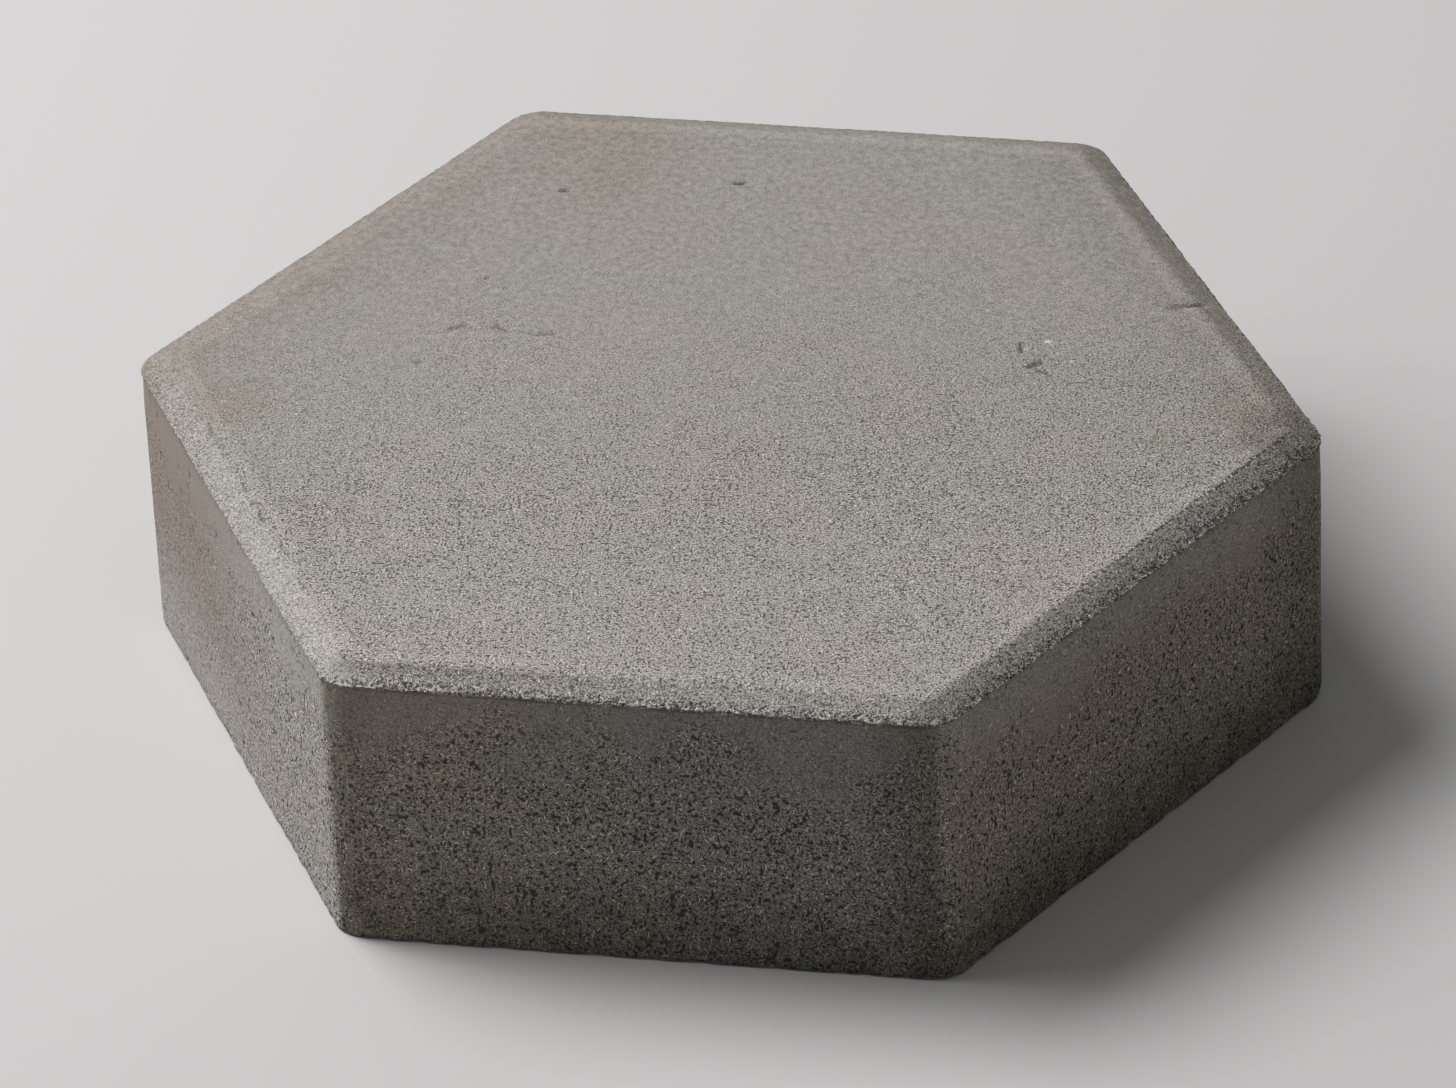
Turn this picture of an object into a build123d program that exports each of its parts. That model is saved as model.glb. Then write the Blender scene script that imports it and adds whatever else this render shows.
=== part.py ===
from build123d import *
import os

# Hexagonal concrete paver, pressed in one piece in a steel mould.
# It lies on its bedding face, with the wearing face up and bevelled all round.
# Millimetres, +Z up, origin at the middle of the bedding face, a joint face square to -Y and to +Y.

# Driving dimensions
ACROSS_FLATS = 198.0  # between opposite joint faces
THICKNESS = 60.0  # bedding face to wearing face
CORNER_RADIUS = 8.0  # upright corners between joint faces
BEVEL_WIDTH = 5.6  # run of the bevel, in from the joint face
BEVEL_DROP = 2.6  # fall of the bevel, below the wearing face
CREST_CORNER_RADIUS = 2.4  # corners of the wearing face's own outline
CREST_SOFTENING = 4.0  # radius that eases the wearing face into the bevel
BASE_ARRIS_RADIUS = 1.0  # worn edge round the bedding face

SIDES = 6


def rounded_hexagon(across_flats, corner_radius, height):
    """Hexagon with rounded corners, lying level at the given height, with a flat side facing -Y."""
    hexagon = RegularPolygon(across_flats / 2, SIDES, major_radius=False)
    return Pos(0, 0, height) * fillet(hexagon.vertices(), corner_radius)


def pressed_block():
    """Upright body from the bedding face to the shoulder, where the bevel begins."""
    shoulder = THICKNESS - BEVEL_DROP
    outline = rounded_hexagon(ACROSS_FLATS, CORNER_RADIUS, 0)
    return extrude(outline, shoulder)


def bevelled_crown():
    """Top slice that draws in from the shoulder to the wearing face."""
    shoulder = rounded_hexagon(ACROSS_FLATS, CORNER_RADIUS, THICKNESS - BEVEL_DROP)
    crest = rounded_hexagon(ACROSS_FLATS - 2 * BEVEL_WIDTH, CREST_CORNER_RADIUS, THICKNESS)
    return loft([shoulder, crest], ruled=True)


def paver():
    """The whole paver: body and bevel in one solid, crest eased and lower arris worn round."""
    solid = pressed_block() + bevelled_crown()
    wearing_face = solid.faces().sort_by(Axis.Z)[-1]
    solid = fillet(wearing_face.edges(), CREST_SOFTENING)
    bedding_face = solid.faces().sort_by(Axis.Z)[0]
    return fillet(bedding_face.edges(), BASE_ARRIS_RADIUS)


os.makedirs("parts", exist_ok=True)
export_step(paver(), "parts/paver.step")
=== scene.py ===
import math

import bpy
from mathutils import Matrix, Vector


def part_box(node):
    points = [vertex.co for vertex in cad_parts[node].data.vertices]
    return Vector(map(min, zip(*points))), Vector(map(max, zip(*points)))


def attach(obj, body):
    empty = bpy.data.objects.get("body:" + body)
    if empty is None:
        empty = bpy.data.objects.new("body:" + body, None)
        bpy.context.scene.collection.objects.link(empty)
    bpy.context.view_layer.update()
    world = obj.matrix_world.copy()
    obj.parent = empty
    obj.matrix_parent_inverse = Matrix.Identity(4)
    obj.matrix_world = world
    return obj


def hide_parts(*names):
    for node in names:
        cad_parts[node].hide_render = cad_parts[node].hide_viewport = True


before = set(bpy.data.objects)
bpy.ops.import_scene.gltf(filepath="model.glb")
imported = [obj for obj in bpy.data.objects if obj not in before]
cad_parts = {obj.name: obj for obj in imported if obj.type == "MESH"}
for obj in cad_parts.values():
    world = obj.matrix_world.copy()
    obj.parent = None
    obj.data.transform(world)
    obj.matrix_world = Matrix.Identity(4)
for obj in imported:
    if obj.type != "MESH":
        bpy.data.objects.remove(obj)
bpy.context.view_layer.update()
mm = 0.001
print("frame loaded with nodes", ", ".join(sorted(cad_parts)))


# Node wiring

def pickSocket(sockets, key):
    if isinstance(key, int):
        return sockets[key]
    return next(socket for socket in sockets if socket.name == key and socket.enabled)


class Wire:
    # one socket of a node tree, and arithmetic on it adds Math nodes
    def __init__(self, desk, socket):
        self.desk = desk
        self.socket = socket

    def __add__(self, other):
        return self.desk.math("ADD", self, other)

    def __radd__(self, other):
        return self.desk.math("ADD", other, self)

    def __sub__(self, other):
        return self.desk.math("SUBTRACT", self, other)

    def __rsub__(self, other):
        return self.desk.math("SUBTRACT", other, self)

    def __mul__(self, other):
        return self.desk.math("MULTIPLY", self, other)

    def __rmul__(self, other):
        return self.desk.math("MULTIPLY", other, self)

    def __truediv__(self, other):
        return self.desk.math("DIVIDE", self, other)

    def __rtruediv__(self, other):
        return self.desk.math("DIVIDE", other, self)

    def __neg__(self):
        return self.desk.math("MULTIPLY", self, -1.0)

    def __abs__(self):
        return self.desk.math("ABSOLUTE", self)

    def other(self, name):  # another output of the same node
        return Wire(self.desk, pickSocket(self.socket.node.outputs, name))

    def axis(self, letter):
        return self.desk.node("ShaderNodeSeparateXYZ", sockets={0: self}, output=letter)

    def shifted(self, offset):
        return self.desk.vector("ADD", self, offset)

    def stretched(self, factors):  # a vector scaled axis by axis
        return self.desk.vector("MULTIPLY", self, factors)

    def along(self, degrees):  # how far a place lies out in a level direction
        heading = (math.cos(math.radians(degrees)), math.sin(math.radians(degrees)), 0)
        return self.desk.vector("DOT_PRODUCT", self, heading, "Value")

    def step(self, low, high):  # eases from 0 at low to 1 at high
        return self.desk.node("ShaderNodeMapRange", {"interpolation_type": "SMOOTHSTEP"},
                              {"Value": self, "From Min": low, "From Max": high})

    def near(self, value, reach):  # 1 at the value, 0 from the reach on
        return 1 - abs(self - value).step(reach * 0.25, reach)


class Desk:
    # one node tree, and the one way that nodes are put into it
    def __init__(self, tree):
        self.tree = tree

    def node(self, kind, settings=None, sockets=None, output=0):
        made = self.tree.nodes.new(kind)
        for name, value in (settings or {}).items():
            setattr(made, name, value)
        for key, value in (sockets or {}).items():
            target = pickSocket(made.inputs, key)
            for single in value if isinstance(value, list) else [value]:
                if isinstance(single, Wire):
                    self.tree.links.new(single.socket, target)
                else:
                    target.default_value = single
        return Wire(self, pickSocket(made.outputs, output)) if made.outputs else None

    def math(self, operation, *values):
        return self.node("ShaderNodeMath", {"operation": operation}, dict(enumerate(values)))

    def vector(self, operation, first, second, output=0):
        return self.node("ShaderNodeVectorMath", {"operation": operation}, {0: first, 1: second}, output)

    def most(self, first, *others):  # the largest of some values
        for value in others:
            first = self.math("MAXIMUM", first, value)
        return first

    def drifted(self, place, seed):  # another stretch of the same pattern for each seed
        drift = self.node("ShaderNodeCombineXYZ", sockets={0: seed * 0.37, 1: seed * 0.61, 2: seed * 0.83})
        return place.shifted(drift)

    def noise(self, place, size, detail=2.0, roughness=0.5, seed=0.0):
        return self.node("ShaderNodeTexNoise", {"noise_dimensions": "3D"},
                         {"Vector": self.drifted(place, seed), "Scale": 1 / size,
                          "Detail": detail, "Roughness": roughness})

    def cells(self, place, size, seed=0.0):
        sockets = {"Vector": self.drifted(place, seed), "Scale": 1 / size}
        return self.node("ShaderNodeTexVoronoi", {"voronoi_dimensions": "3D", "feature": "F1"}, sockets)

    def spots(self, place, marks):
        # the strongest of some round marks, each x, y, z and reach in millimetres
        strongest = 0.0
        for x, y, z, reach in marks:
            away = self.vector("DISTANCE", place, (x * mm, y * mm, z * mm), "Value")
            strongest = self.most(strongest, 1 - away.step(reach * mm * 0.3, reach * mm))
        return strongest

    def scores(self, place, marks):
        # the strongest of some straight marks, each start, end and reach in millimetres
        strongest = 0.0
        for start, end, reach in marks:
            run = (Vector(end) - Vector(start)) * mm
            offset = place.shifted(Vector(start) * -mm)
            along = self.vector("DOT_PRODUCT", offset, run, "Value")
            share = self.node("ShaderNodeMapRange", sockets={"Value": along, "From Max": run.length_squared})
            nearest = self.node("ShaderNodeVectorMath", {"operation": "SCALE"}, {0: run, "Scale": share})
            away = self.vector("DISTANCE", offset, nearest, "Value")
            strongest = self.most(strongest, 1 - away.step(reach * mm * 0.3, reach * mm))
        return strongest

    def mixColour(self, factor, first, second, blend="MIX"):
        settings = {"data_type": "RGBA", "blend_type": blend}
        return self.node("ShaderNodeMix", settings, {"Factor": factor, "A": first, "B": second}, "Result")

    def grey(self, value):
        return self.node("ShaderNodeCombineXYZ", sockets={0: value, 1: value, 2: value})


# The paver's skin: a hexagon lattice on each flat face and a band of rows down the sides

low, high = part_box("paver")
paver = {
    "acrossFlats": high.y - low.y,
    "thickness": high.z - low.z,
    "cornerRadius": 8.0 * mm,
    "bevelWidth": 5.6 * mm,
    "bevelDrop": 2.6 * mm,
    "crestEase": 0.9 * mm,  # how far the crest's soft turn reaches to each side
    "baseArris": 1.0 * mm,
    "lipDepth": 0.32 * mm,  # how far the joint faces stand back under the shoulder's lip
    "skinMargin": 0.06 * mm,  # keeps every relief inside the block
    "cellsPerSide": 260,
    "triangleLimit": 194000,
    "seed": 3.0,
    # how deep each relief goes
    "swellDepth": 0.26 * mm,
    "rippleDepth": 0.14 * mm,
    "dragDepth": 0.14 * mm,
    "crumbSize": 0.85 * mm,
    "crumbDepth": 0.55 * mm,
    "chipDepth": 0.45 * mm,
    "footDepth": 0.5 * mm,
    "pitSpacing": 3.2 * mm,
    "pitDepth": 0.45 * mm,
    "crackDepth": 0.4 * mm,
    "leastCrumbs": 0.15,  # the share of the crumbs that the smooth sides keep
    "cracks": [  # the larger open pores and short cracks: start, end and reach in millimetres
        ((-43.6, 66.8, 59.8), (-42.8, 66.9, 59.8), 0.9),
        ((-10.3, 73.1, 59.8), (-9.2, 73.2, 59.8), 1.0),
        ((-55.6, 16.2, 59.9), (-53.0, 17.8, 59.9), 0.8),
        ((-52.8, 16.8, 59.9), (-46.5, 17.2, 59.9), 0.45),
        ((-46.9, 18.2, 59.9), (-44.8, 16.7, 59.9), 0.85),
        ((-44.4, 16.4, 59.9), (-38.5, 16.2, 59.9), 0.45),
        ((-38.9, 16.1, 59.9), (-36.1, 16.6, 59.9), 0.85),
        ((-52.3, 34.2, 59.9), (-51.9, 34.4, 59.9), 0.7),
        ((-59.9, 3.8, 59.9), (-59.3, 4.1, 59.9), 0.8),
        ((53.0, 23.4, 59.8), (53.5, 20.6, 59.8), 0.7),
        ((55.6, 15.6, 59.8), (57.6, 17.4, 59.8), 0.9),
        ((57.3, 15.0, 59.8), (59.9, 13.4, 59.8), 0.8),
        ((79.4, 38.9, 59.8), (85.6, 40.7, 59.6), 0.9),
        ((87.9, -6.4, 59.9), (90.2, -4.7, 59.9), 0.4),
        ((91.6, -3.9, 59.9), (94.5, -2.3, 59.9), 0.45),
        ((49.2, -98.7, 15.4), (51.0, -98.7, 15.9), 1.3),
    ],
}


def skinInputs(tree, desk):
    # named inputs of the tree, and their values for the modifier by identifier
    names = ("acrossFlats", "thickness", "cornerRadius", "bevelWidth", "bevelDrop", "crestEase",
             "baseArris", "lipDepth", "skinMargin", "cellsPerSide", "seed")
    values = {}
    for name in names:
        kind = "NodeSocketInt" if isinstance(paver[name], int) else "NodeSocketFloat"
        item = tree.interface.new_socket(name, in_out="INPUT", socket_type=kind)
        values[item.identifier] = paver[name]
    entry = desk.node("NodeGroupInput")
    return {name: entry.other(name) for name in names}, values


def outlinePoint(desk, size, side, inset):
    # a point of the rounded hexagon: side runs from -1 to 1 along one flat and half of each corner
    inner = size["acrossFlats"] / 2 - size["skinMargin"] - size["cornerRadius"]
    halfFlat = inner * math.tan(math.pi / 6)
    reach = halfFlat + size["cornerRadius"] * (math.pi / 6)
    along = side * reach
    onFlat = desk.node("ShaderNodeClamp", sockets={"Value": along, "Min": -halfFlat, "Max": halfFlat})
    turn = (along - onFlat) / size["cornerRadius"]
    radius = size["cornerRadius"] - inset
    return inner + radius * desk.math("COSINE", turn), onFlat + radius * desk.math("SINE", turn)


def turned(desk, x, y, angle, z):
    # a point turned about the paver's middle
    cosine = desk.math("COSINE", angle)
    sine = desk.math("SINE", angle)
    across = x * cosine - y * sine
    return desk.node("ShaderNodeCombineXYZ", sockets={0: across, 1: x * sine + y * cosine, 2: z})


def unitGrid(desk, countX, countY):
    return desk.node("GeometryNodeMeshGrid", sockets={"Size X": 1.0, "Size Y": 1.0, "Vertices X": countX,
                                                      "Vertices Y": countY})


def flatFace(desk, size, inset, height):
    # three rhombs of lattice, each spanning two of the six sectors
    count = size["cellsPerSide"] + 1
    place = desk.node("GeometryNodeInputPosition")
    a = place.axis("X") + 0.5
    b = place.axis("Y") + 0.5
    ring = desk.most(a, b)
    share = desk.math("MINIMUM", a, b) / desk.most(ring, 0.0001)
    second = desk.math("GREATER_THAN", b, a)
    side = (share * 2 - 1) * (1 - second * 2)
    x, y = outlinePoint(desk, size, side, inset)
    angle = second * (math.pi / 3) + math.pi / 6
    spot = turned(desk, x * ring, y * ring, angle, height)
    rhomb = desk.node("GeometryNodeSetPosition",
                      sockets={"Geometry": unitGrid(desk, count, count), "Position": spot})
    rhombs = []
    for third in range(3):
        turn = (0, 0, third * math.tau / 3)
        rhombs.append(desk.node("GeometryNodeTransform", sockets={"Geometry": rhomb, "Rotation": turn}))
    return desk.node("GeometryNodeJoinGeometry", sockets={"Geometry": rhombs})


def sideProfile(size):
    # stations from the wearing face down to the bedding face: inset, height, rows to the next one
    top = size["thickness"] - size["skinMargin"]
    shoulder = size["thickness"] - size["bevelDrop"]
    ease = size["crestEase"]
    width = size["bevelWidth"]
    fall = size["bevelDrop"] / width
    lip = size["lipDepth"]
    base = size["baseArris"]
    return [
        (width + ease, top, 2),
        (width, top - ease * fall * 0.25, 2),
        (width - ease, top - ease * fall, 8),
        (lip * 3, shoulder + lip * fall * 3, 3),
        (0.0, shoulder + lip * fall * 0.4, 1),
        (lip * 0.1, shoulder - lip * 0.7, 2),
        (lip, shoulder - lip * 1.8, 2),
        (lip * 0.9, shoulder - lip * 6, 8),
        (lip * 0.4, shoulder - lip * 24, 75),
        (lip * 0.3, base, 2),
        (base * 0.3, base * 0.3, 2),
        (base, size["skinMargin"], 0),
    ]


def polyline(desk, travel, stations, column):
    # straight runs between stations, with the station's rows as its share of the travel
    total = sum(station[2] for station in stations)
    value = stations[0][column]
    start = 0
    for station, following in zip(stations, stations[1:]):
        end = start + station[2]
        share = desk.node("ShaderNodeMapRange", sockets={"Value": travel, "From Min": start / total,
                                                         "From Max": end / total})
        value = value + (following[column] - station[column]) * share
        start = end
    return value


def sideBand(desk, size):
    stations = sideProfile(size)
    rows = sum(station[2] for station in stations)
    grid = unitGrid(desk, size["cellsPerSide"] * 6 + 1, rows + 1)
    place = desk.node("GeometryNodeInputPosition")
    around = (place.axis("X") + 0.5) * 6
    travel = 0.5 - place.axis("Y")
    sector = desk.math("MINIMUM", desk.math("FLOOR", around), 5.0)
    side = (around - sector) * 2 - 1
    inset = polyline(desk, travel, stations, 0)
    height = polyline(desk, travel, stations, 1)
    x, y = outlinePoint(desk, size, side, inset)
    spot = turned(desk, x, y, sector * (math.pi / 3) + math.pi / 6, height)
    return desk.node("GeometryNodeSetPosition", sockets={"Geometry": grid, "Position": spot})


def crumbling(place):
    # the shoulder is crumbly on the front and right sides and smooth on the others
    near = place.along(-50).step(12 * mm, 56 * mm) * place.along(-90).step(-20 * mm, 20 * mm)
    return paver["leastCrumbs"] + near * (1 - paver["leastCrumbs"])


def pressedRelief(desk, size):
    # how deep the surface lies below the block's own, in metres
    place = desk.node("GeometryNodeInputPosition")
    up = desk.node("GeometryNodeInputNormal").axis("Z")
    z = place.axis("Z")
    seed = size["seed"]
    wall = 1 - abs(up).step(0.3, 0.7)
    under = (-up).step(0.5, 0.9)
    shoulder = size["thickness"] - size["bevelDrop"]
    arris = (1 - abs(z - shoulder).step(0.0, 1.1 * mm)) * crumbling(place)
    foot = 1 - z.step(0.0, 3 * mm)

    swell = desk.noise(place, 45 * mm, 1.0, seed=seed)
    ripple = desk.noise(place, 7 * mm, 2.0, seed=seed + 1)
    drag = desk.noise(place.stretched((1, 1, 0.1)), 1.8 * mm, 2.0, seed=seed + 2)
    crumbs = desk.noise(place, paver["crumbSize"], 1.0, seed=seed + 3).step(0.38, 0.62)
    chips = desk.noise(place, 5 * mm, 2.0, seed=seed + 4).step(0.56, 0.75)
    wear = desk.noise(place, 5 * mm, 2.0, seed=seed + 5).step(0.4, 0.7)
    pores = desk.cells(place.stretched((1, 1, 0.7)), paver["pitSpacing"], seed=seed + 6)
    chosen = pores.other("Color").axis("X").step(0.5, 0.55)  # about half of the cells hold a pit
    pits = (1 - pores.step(0.05, 0.25)) * chosen * paver["pitDepth"] * (0.2 + wall * 0.8)

    depth = swell * paver["swellDepth"] + ripple * paver["rippleDepth"]
    depth = depth + drag * paver["dragDepth"] * wall
    depth = depth + crumbs * paver["crumbDepth"] * arris + chips * paver["chipDepth"] * arris
    depth = depth + wear * paver["footDepth"] * foot + pits
    depth = depth + desk.scores(place, paver["cracks"]) * paver["crackDepth"]
    return depth * (1 - under * 0.5)


def buildSkin(material):
    tree = bpy.data.node_groups.new("paverSkin", "GeometryNodeTree")
    desk = Desk(tree)
    size, values = skinInputs(tree, desk)
    tree.interface.new_socket("Geometry", in_out="OUTPUT", socket_type="NodeSocketGeometry")
    stations = sideProfile(size)
    top = flatFace(desk, size, stations[0][0], stations[0][1])
    underside = flatFace(desk, size, stations[-1][0], stations[-1][1])
    bottom = desk.node("GeometryNodeFlipFaces", sockets={"Mesh": underside})
    joined = desk.node("GeometryNodeJoinGeometry", sockets={"Geometry": [top, sideBand(desk, size), bottom]})
    whole = desk.node("GeometryNodeMergeByDistance", sockets={"Geometry": joined, "Distance": 0.01 * mm})
    inward = desk.node("ShaderNodeVectorMath", {"operation": "SCALE"},
                       {0: desk.node("GeometryNodeInputNormal"), "Scale": -pressedRelief(desk, size)})
    carved = desk.node("GeometryNodeSetPosition", sockets={"Geometry": whole, "Offset": inward})
    smooth = desk.node("GeometryNodeSetShadeSmooth", sockets={"Geometry": carved})
    real = desk.node("GeometryNodeRealizeInstances", sockets={"Geometry": smooth})
    clad = desk.node("GeometryNodeSetMaterial", sockets={"Geometry": real, "Material": material})
    desk.node("NodeGroupOutput", sockets={"Geometry": clad})

    carrier = bpy.data.objects.new("paverSkin", bpy.data.meshes.new("paverSkin"))
    bpy.context.scene.collection.objects.link(carrier)
    modifier = carrier.modifiers.new("skin", "NODES")
    modifier.node_group = tree
    for identifier, value in values.items():
        modifier[identifier] = value
    evaluated = carrier.evaluated_get(bpy.context.evaluated_depsgraph_get())
    dense = bpy.data.meshes.new_from_object(evaluated)
    carrier.modifiers.remove(modifier)
    carrier.data = dense
    print("skin made with", len(dense.polygons), "faces")
    return carrier


def thinned(carrier, name):
    # spends the triangles where the relief needs them
    triangles = sum(len(face.vertices) - 2 for face in carrier.data.polygons)
    thin = carrier.modifiers.new("thin", "DECIMATE")
    thin.ratio = min(1.0, paver["triangleLimit"] / triangles)
    evaluated = carrier.evaluated_get(bpy.context.evaluated_depsgraph_get())
    mesh = bpy.data.meshes.new_from_object(evaluated)
    bpy.data.objects.remove(carrier)
    mesh.name = name
    piece = bpy.data.objects.new(name, mesh)
    bpy.context.scene.collection.objects.link(piece)
    print("thinned to", len(mesh.polygons), "faces")
    return piece


bakeSheet = {  # places in millimetres on the one sheet that the OFBake map lays the piece out on
    "width": 350.0,
    "top": (113.2, 99.2),
    "bottom": (174.6, 249.6),
    "bottomScale": 0.5,
    "strips": [(291, 0), (291, 61), (291, 122), (291, 183), (291, 244), (58, 200)],
}


def sheetPlace(face, spot, side):
    # the top lies whole, the joint faces as six strips and the bedding face at half size
    x, y, z = spot / mm
    shoulder = (paver["thickness"] - paver["bevelDrop"]) / mm
    if face.center.z / mm > shoulder - 1 and face.normal.z > 0.35:
        return x + bakeSheet["top"][0], y + bakeSheet["top"][1]
    if face.center.z < 1.2 * mm and face.normal.z < -0.5:
        across, up = bakeSheet["bottom"]
        return across + x * bakeSheet["bottomScale"], up + y * bakeSheet["bottomScale"]
    heading = math.radians(30 + 60 * side)
    across, up = bakeSheet["strips"][side]
    return across + y * math.cos(heading) - x * math.sin(heading), up + z


def layOut(piece):
    # a map of the whole skin with little waste
    mesh = piece.data
    places = mesh.uv_layers.new(name="OFBake").data
    for face in mesh.polygons:
        side = int(math.degrees(math.atan2(face.center.y, face.center.x)) % 360 // 60)
        for corner in face.loop_indices:
            spot = mesh.vertices[mesh.loops[corner].vertex_index].co
            u, v = sheetPlace(face, spot, side)
            places[corner].uv = (u / bakeSheet["width"], v / bakeSheet["width"])
    print("laid out on one sheet")


# Concrete

concrete = {
    "sand": (0.385, 0.363, 0.327, 1),
    "ash": (0.376, 0.361, 0.333, 1),
    "earth": (0.356, 0.300, 0.256, 1),
    "moss": (0.340, 0.326, 0.264, 1),
    "pasteAndLight": (0.424, 0.404, 0.374, 1),  # the smooth skin that the mould leaves on the left bevel, painted lighter too: partly painted light on the bevel that faces the lamps
    "slate": (0.206, 0.198, 0.176, 1),  # the joint faces' own grey
    "olive": (0.247, 0.223, 0.178, 1),
    "umber": (0.299, 0.254, 0.217, 1),
    # pale dust on the left face, and painted light on the upper right face
    "dustAndLight": (0.374, 0.353, 0.326, 1),
    # the dark colour that the painted shade and the darker spots mix towards
    "darkShade": (0.076, 0.068, 0.047, 1),
    "shell": (0.80, 0.79, 0.75, 1),
    # near black, for the painted shade in pores, strokes and cracks and the dark lines
    "shadedPore": (0.036, 0.032, 0.026, 1),
    "roughness": 0.93,
    # grain
    "gritSize": 0.36 * mm,
    "gritHeight": 0.26 * mm,
    "gritTone": 3.1,
    "strokeSize": 0.70 * mm,
    "strokeDepth": 0.16 * mm,
    "poreDepth": 0.20 * mm,
    "mottleSize": 1.4 * mm,
    "mottleTone": 0.6,
    # how strongly each tint covers the one below
    "pasteAndLightCover": 0.8,
    "stainCover": 0.6,
    "growthCover": 0.5,
    # round marks: x, y, z and reach in millimetres
    "specks": [(57.8, 24.4, 59.7, 0.9), (63.3, 18.1, 59.7, 0.45)],
    "stains": [(-41, 80, 59.7, 30), (-93, -14, 59.7, 13), (100, 9, 59.7, 16)],
    "growth": [(52, -93, 58.5, 16), (88, -8, 59.7, 12), (102, -2, 58.5, 9)],
    "spotAndShade": [(107, -2, 58.5, 15)],
}


def findSides(place):
    # how far a place lies out towards each side
    backRight, back, backLeft = place.along(30), place.along(90), place.along(150)
    return {"backRight": backRight, "back": back, "backLeft": backLeft,
            "front": -back, "right": -backLeft, "left": -backRight}


def onBevel(out):  # 1 where a place lies as far out as a side's bevel
    return out.step(91 * mm, 94 * mm)


def findZones(desk, place, out, clump, crumb):
    # masks from 0 to 1 for the parts of the block
    shoulder = paver["thickness"] - paver["bevelDrop"]
    crest = paver["bevelWidth"]
    z = place.axis("Z")
    outward = desk.most(abs(out["backRight"]), abs(out["back"]), abs(out["backLeft"]))
    inset = paver["acrossFlats"] / 2 - outward
    rough = clump - 0.5
    crumbly = crumbling(place)
    crown = (z - (crumb - 0.5) * crumbly * (3.2 * mm)).step(shoulder - 0.4 * mm, shoulder - 0.1 * mm)
    wall = (1 - crown) * (1 - inset.step(1.9 * mm, 2.6 * mm))
    bevel = crown * (1 - (inset + rough * (1.2 * mm)).step(crest - 0.4 * mm, crest + 0.2 * mm))
    ragged = crown * (1 - (inset + rough * (6 * mm)).step(crest - 0.9 * mm, crest + 1.7 * mm))
    tanned = desk.most(out["backLeft"], out["backRight"] - 8 * mm)
    zone = {
        "z": z,
        "crown": crown,
        "wall": wall,
        "pasteAndLight": ragged * onBevel(out["left"]),
        "farBevel": bevel * onBevel(desk.most(out["backRight"], out["back"])),
        "tan": crown * (tanned + rough * (30 * mm)).step(74 * mm, 97 * mm),
        "crestHighlight": inset.near(crest + 2.2 * mm, 2.0 * mm) * crown,
        # where a painted highlight lies just inside the crest
        "arris": z.near(shoulder + 0.15 * mm, 0.9 * mm) * crumbly,
        # where painted shade lies as a thin dark line under the lip
        "lip": z.near(shoulder - 0.75 * mm, 0.55 * mm) * wall * crumbly,
        # where painted shade lies just below the front crest
        "underCrestShade": inset.near(crest - 1.3 * mm, 2.2 * mm) * bevel * onBevel(out["front"]),
    }
    for side in ("front", "right", "left"):
        zone[side + "Bevel"] = bevel * onBevel(out[side])
        zone[side + "Face"] = wall * out[side].step(97.6 * mm, 98.6 * mm)
    return zone


def crestLines(desk, place, out, clump):
    # broken dark lines along the crest on the right and, fainter, on the left
    crestAway = paver["acrossFlats"] / 2 - paver["bevelWidth"] - 0.3 * mm + (clump - 0.5) * (1.2 * mm)
    upRight, downLeft = place.along(60), place.along(-60)
    right = (out["right"] - crestAway).near(0.0, 0.5 * mm)
    right = right * upRight.step(-45 * mm, 10 * mm) * (1 - upRight.step(52 * mm, 54 * mm))
    left = (out["left"] - crestAway).near(0.0, 0.5 * mm) * (1 - abs(downLeft).step(50 * mm, 54 * mm))
    return desk.most(right, left * clump.step(0.45, 0.6) * 0.5)


def findGrain(desk, place, zone, clump, patch):
    # fine grit, dark round pores, and short dark strokes with a pale one beside each: the dark pores and
    # strokes are painted shade in pits, the pale strokes a painted highlight on their rims
    wall = zone["wall"]
    upperWall = wall * (zone["z"] + (patch - 0.5) * (45 * mm)).step(38 * mm, 54 * mm)
    farLeft = zone["leftFace"] * (1 - place.along(-60).step(-30 * mm, 30 * mm))
    nearFront = zone["frontFace"] * (1 - place.axis("X").step(-50 * mm, 5 * mm))
    farTop = zone["crown"] * (place.along(103) + (patch - 0.5) * (40 * mm)).step(-46 * mm, 60 * mm)
    calm = zone["pasteAndLight"] * 0.5 + zone["frontBevel"] * 0.2 + zone["rightBevel"] * 0.05
    calm = desk.most(calm, farTop * 0.96) + upperWall * 0.75 + farLeft * 0.55 + nearFront * 0.13
    mottle = desk.noise(place, concrete["mottleSize"], 1.0, seed=6) - 0.5
    grit = desk.noise(place, concrete["gritSize"], 1.0, 0.6) - 0.5
    lay = desk.noise(place.stretched((1, 1, 0.8)), concrete["strokeSize"], 0.0, seed=1) - 0.5
    cross = desk.noise(place, concrete["strokeSize"], 0.0, seed=2) - 0.5
    poreLevel = 0.165 - wall * 0.015 - (clump - 0.5) * (0.25 - wall * 0.12) + calm * 0.06
    stroked = 1 - lay.step(-0.12, -0.04)
    return {
        "calm": calm,  # how smooth the place is
        "mottle": mottle * farTop,
        "grit": grit,
        "dashes": lay.step(-0.1, 0.0),
        "shadedPore": lay.step(poreLevel, poreLevel + 0.04),
        "stroke": (1 - abs(cross).step(0.02, 0.07)) * stroked,
        "litRim": (1 - abs(cross - 0.12).step(0.02, 0.06)) * stroked,
        "frayed": place.shifted(desk.grey(grit * (2.2 * mm))),
    }


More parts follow.
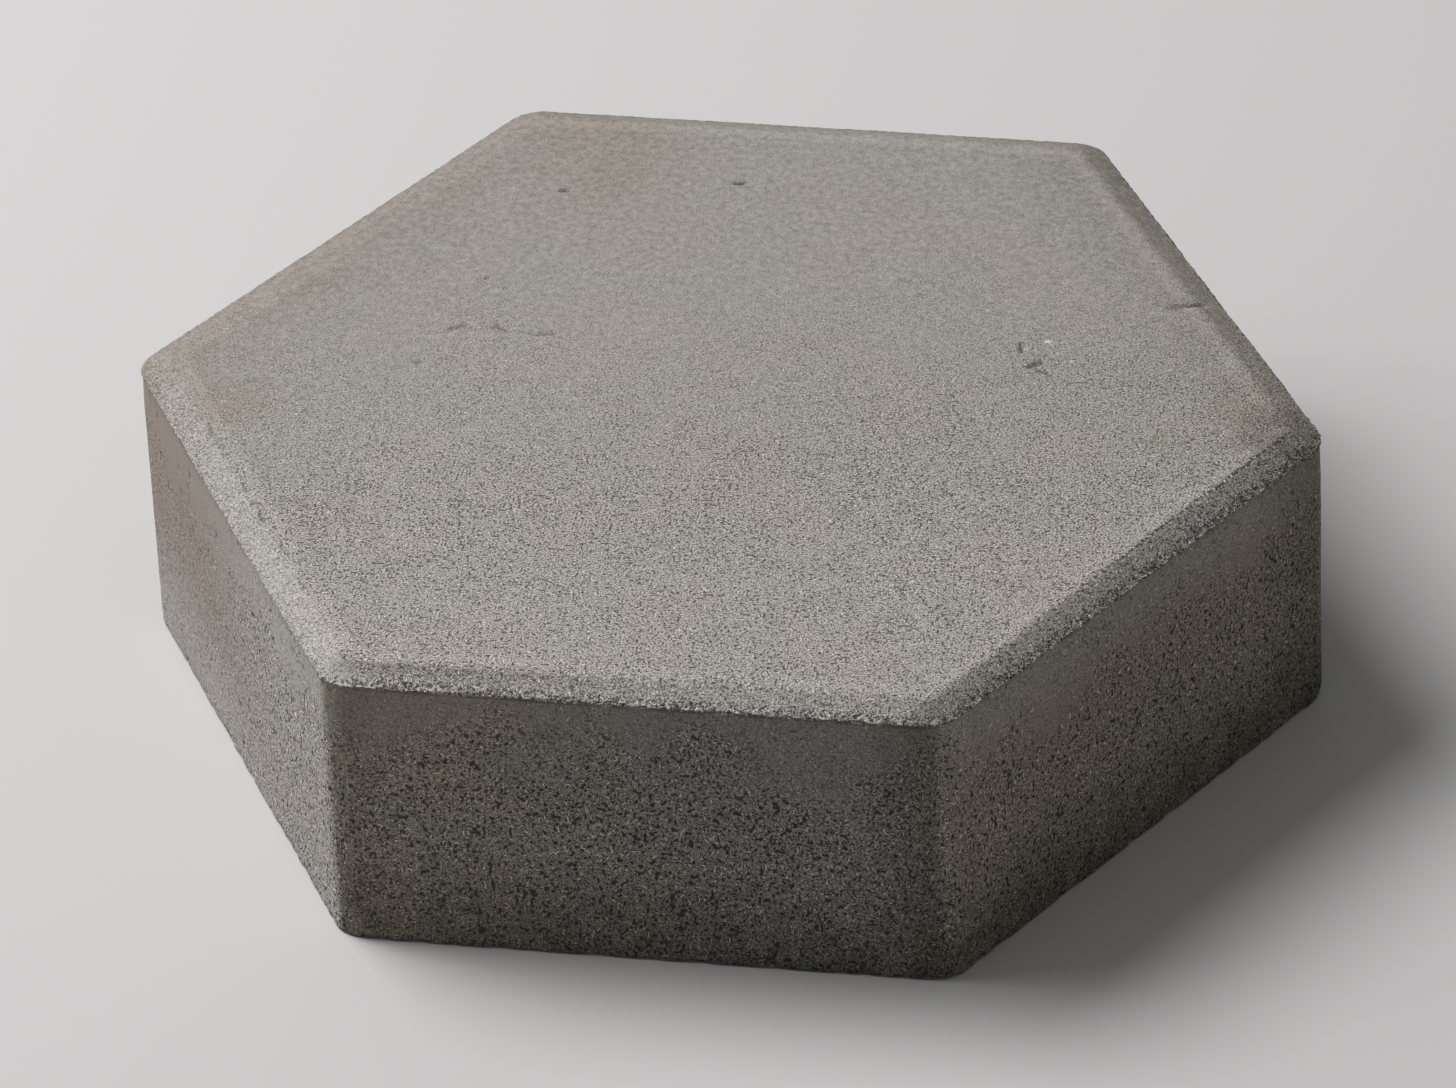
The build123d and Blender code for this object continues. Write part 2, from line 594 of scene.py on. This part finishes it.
def faceColour(desk, place, zone, clump, patch, blotch):
    # the wearing face and the bevels, with painted shade on the right bevel
    stain = desk.spots(place, concrete["stains"]) * patch.step(0.3, 0.6)
    growth = desk.spots(place, concrete["growth"]) * clump.step(0.3, 0.6)
    colour = desk.mixColour(blotch, concrete["sand"], concrete["ash"])
    # the left bevel's smooth skin, painted lighter: partly painted light
    colour = desk.mixColour(zone["pasteAndLight"] * concrete["pasteAndLightCover"], colour, concrete["pasteAndLight"])
    colour = desk.mixColour(desk.most(stain, zone["tan"]) * concrete["stainCover"], colour, concrete["earth"])
    green = growth * concrete["growthCover"] + zone["farBevel"] * 0.5
    colour = desk.mixColour(green, colour, concrete["moss"])
    # a darker spot by the right corner, painted shade on the right bevel, and the far bevels a little darker
    spotAndShade = desk.spots(place, concrete["spotAndShade"]) * (0.26 + clump.step(0.3, 0.6) * 0.26)
    spotAndShade = desk.most(spotAndShade, zone["rightBevel"] * 0.32 + zone["farBevel"] * 0.06)
    return desk.mixColour(spotAndShade, colour, concrete["darkShade"])


def wallColour(desk, place, zone, out, clump, patch, blotch):
    # the joint faces, each of the near ones with its own tones and the far ones alike, with painted shade by
    # the corners and towards the foot and painted light on the upper right face
    x = place.axis("X")
    z = zone["z"]
    darkShade = concrete["darkShade"]
    greyed = desk.most(place.along(-60).step(-35 * mm, 30 * mm), 1 - z.step(6 * mm, 34 * mm))
    leftTone = desk.mixColour(greyed, concrete["umber"], concrete["dustAndLight"])
    greying = (x + (patch - 0.5) * (90 * mm)).step(-60 * mm, 10 * mm)
    frontTone = desk.mixColour(greying, concrete["olive"], concrete["slate"])
    # the front face darker towards its right end
    frontTone = desk.mixColour(x.step(38 * mm, 56 * mm) * 0.62, frontTone, darkShade)
    # painted light: the right face painted lighter towards its top
    rightTone = desk.mixColour(z.step(40 * mm, 56 * mm) * 0.4, concrete["olive"], concrete["dustAndLight"])
    # painted shade: the right face darker towards the right corner, which the lamps do not reach
    rightTone = desk.mixColour(place.along(60).step(30 * mm, 56 * mm) * 0.42, rightTone, darkShade)
    # painted shade on the front face by the rounded front-left corner
    cornerShade = out["front"].step(90 * mm, 96 * mm) * (1 - x.step(-54 * mm, -46 * mm)) * 0.22
    # painted shade: the joint faces darker towards the foot, near the floor
    footShade = (1 - z.step(0 * mm, 26 * mm)) * (0.36 + clump.step(0.3, 0.65) * 0.33)

    colour = desk.mixColour(blotch, concrete["olive"], concrete["slate"])
    colour = desk.mixColour(zone["rightFace"], colour, rightTone)
    colour = desk.mixColour(zone["frontFace"], colour, frontTone)
    colour = desk.mixColour(cornerShade, colour, darkShade)
    colour = desk.mixColour(footShade, colour, darkShade)
    return desk.mixColour(zone["leftFace"], colour, leftTone)


def findTone(desk, place, zone, out, grain, crumb):
    # how much lighter or darker than its colour a place is: grain, and painted highlights and painted shade
    # at the arris, the crest and towards the back
    wall = zone["wall"]
    contrast = 1.1 + wall * 0.1 - zone["leftFace"] * 0.2 - grain["calm"] * 0.88
    # the grit's random tone, and a painted highlight on the pale strokes
    tone = (grain["grit"] * concrete["gritTone"] + grain["litRim"] * (0.75 + wall * 0.75)) * contrast
    # at the arris, a painted highlight on the crumbs and painted shade in the gaps between them
    tone = tone + zone["arris"] * (0.22 + grain["grit"] * 1.2 - crumb.step(0.40, 0.60) * 0.7)
    # painted shade just below the front crest, less towards the right, and a painted highlight just inside
    # the crest
    crestShade = 0.25 - place.axis("X").step(-35 * mm, 10 * mm) * 0.14
    tone = tone + zone["crestHighlight"] * 0.10 - zone["underCrestShade"] * crestShade
    # painted shade: the top darker towards the back, the left edge and the back-right edge
    farShade = out["back"].step(-95 * mm, 70 * mm) * 0.20 + place.along(180).step(45 * mm, 100 * mm) * 0.05
    farShade = farShade + out["backRight"].step(68 * mm, 94 * mm) * 0.08
    tone = tone - zone["crown"] * farShade + grain["mottle"] * concrete["mottleTone"]
    return desk.most(1.0 + tone, 0.2)


def findDark(desk, place, zone, out, grain, clump):
    # pores, strokes, cracks and the broken lines along the edges, mixed towards near black: painted shade in
    # the pores, strokes and cracks, and under the lip
    wall = zone["wall"]
    cracks = desk.scores(grain["frayed"], paver["cracks"]) * (0.4 + grain["dashes"] * 0.55)
    crestLine = zone["crown"] * crestLines(desk, place, out, clump) * grain["dashes"]
    # painted shade under the lip, in broken stretches
    lipShadow = zone["lip"] * clump.step(0.42, 0.55) * (0.25 + zone["frontFace"] * 0.35)
    depth = 0.76 + wall * 0.2 - grain["calm"] * 0.65
    stroke = grain["stroke"] * (0.8 + wall * 0.2)
    return desk.most(desk.most(grain["shadedPore"], stroke) * depth, cracks, crestLine * 0.85, lipShadow)


def buildConcrete():
    material = bpy.data.materials.new("concrete")
    material.use_nodes = True
    tree = material.node_tree
    tree.nodes.clear()
    desk = Desk(tree)
    place = desk.node("ShaderNodeTexCoord", output="Object")
    clump = desk.noise(place, 6 * mm, 2.0, seed=4)
    patch = desk.noise(place, 14 * mm, 1.0, seed=8)
    blotch = desk.noise(place, 30 * mm, 2.0, 0.6, seed=5).step(0.36, 0.66)
    crumb = desk.noise(place, paver["crumbSize"], 1.0, seed=paver["seed"] + 3)  # the relief's own crumbs
    out = findSides(place)
    zone = findZones(desk, place, out, clump, crumb)
    grain = findGrain(desk, place, zone, clump, patch)

    colour = desk.mixColour(zone["wall"], faceColour(desk, place, zone, clump, patch, blotch),
                            wallColour(desk, place, zone, out, clump, patch, blotch))
    tone = desk.grey(findTone(desk, place, zone, out, grain, crumb))
    colour = desk.mixColour(1.0, colour, tone, "MULTIPLY")
    colour = desk.mixColour(findDark(desk, place, zone, out, grain, clump), colour, concrete["shadedPore"])
    colour = desk.mixColour(desk.spots(grain["frayed"], concrete["specks"]), colour, concrete["shell"])

    # relief finer than the mesh, in metres
    pits = grain["shadedPore"] * concrete["poreDepth"] + grain["stroke"] * concrete["strokeDepth"]
    height = (grain["grit"] * concrete["gritHeight"] - pits) * (1 + zone["arris"] - grain["calm"] * 0.75)
    normal = desk.node("ShaderNodeBump", sockets={"Strength": 1.0, "Distance": 1.0, "Height": height})
    shader = desk.node("ShaderNodeBsdfPrincipled", sockets={"Base Color": colour, "Normal": normal,
                                                            "Roughness": concrete["roughness"],
                                                            "Specular IOR Level": 0.3})
    desk.node("ShaderNodeOutputMaterial", sockets={"Surface": shader})
    print("concrete mixed")
    return material


# Stage, light and camera

stage = {
    "floorColour": (0.61, 0.60, 0.60, 1),
    "floorWidth": 8.0,
    "worldLevel": 0.19,
}
lamps = {  # direction from the paver, distance, width and level, where 1 shows a facing colour as written
    "key": ((-0.57, 0.22, 1.0), 2.0, 1.1, 0.74),
    "fill": ((-0.88, 0.0, 0.78), 2.0, 1.2, 0.35),
}
view = {
    "lens": 238.52,
    "sensor": 36.0,
    "azimuth": -11.27,
    "elevation": 34.47,
    "roll": -2.615,
    "distance": 1829.2 * mm,
    "target": (0.19 * mm, -4.76 * mm, 28.58 * mm),
}


def buildFloor():
    material = bpy.data.materials.new("paleFloor")
    material.use_nodes = True
    tree = material.node_tree
    tree.nodes.clear()
    desk = Desk(tree)
    shader = desk.node("ShaderNodeBsdfPrincipled", sockets={"Base Color": stage["floorColour"],
                                                            "Roughness": 0.9, "Specular IOR Level": 0.1})
    desk.node("ShaderNodeOutputMaterial", sockets={"Surface": shader})
    half = stage["floorWidth"] / 2
    corners = [(-half, -half, 0), (half, -half, 0), (half, half, 0), (-half, half, 0)]
    mesh = bpy.data.meshes.new("floor")
    mesh.from_pydata(corners, [], [(0, 1, 2, 3)])
    mesh.materials.append(material)
    floor = bpy.data.objects.new("floor", mesh)
    bpy.context.scene.collection.objects.link(floor)
    print("floor laid")


def buildLight():
    world = bpy.data.worlds.new("studio")
    world.use_nodes = True
    background = world.node_tree.nodes["Background"]
    background.inputs["Color"].default_value = (1, 1, 1, 1)
    background.inputs["Strength"].default_value = stage["worldLevel"]
    bpy.context.scene.world = world

    for name, (heading, distance, width, level) in lamps.items():
        lamp = bpy.data.lights.new(name, "AREA")
        lamp.shape = "DISK"
        lamp.size = width
        lamp.energy = level * (math.pi * distance) ** 2
        hung = bpy.data.objects.new(name, lamp)
        direction = Vector(heading).normalized()
        hung.location = direction * distance
        hung.rotation_euler = direction.to_track_quat("Z", "Y").to_euler()
        bpy.context.scene.collection.objects.link(hung)
    print("stage lit")


def buildCamera():
    azimuth = math.radians(view["azimuth"])
    elevation = math.radians(view["elevation"])
    level = math.cos(elevation)
    forward = Vector((math.sin(azimuth) * level, math.cos(azimuth) * level, -math.sin(elevation)))
    lens = bpy.data.cameras.new("camera")
    lens.lens = view["lens"]
    lens.sensor_width = view["sensor"]
    lens.sensor_fit = "HORIZONTAL"
    lens.clip_end = 50.0
    camera = bpy.data.objects.new("camera", lens)
    spin = Matrix.Rotation(math.radians(view["roll"]), 3, "Z")
    facing = (-forward).to_track_quat("Z", "Y").to_matrix() @ spin
    stand = Vector(view["target"]) - forward * view["distance"]
    camera.matrix_world = Matrix.Translation(stand) @ facing.to_4x4()
    bpy.context.scene.collection.objects.link(camera)
    bpy.context.scene.camera = camera
    print("camera placed")


bpy.context.scene.view_settings.view_transform = "Standard"
buildFloor()
buildLight()
buildCamera()
body = thinned(buildSkin(buildConcrete()), "paverBody")
layOut(body)
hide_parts("paver")
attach(body, "root")
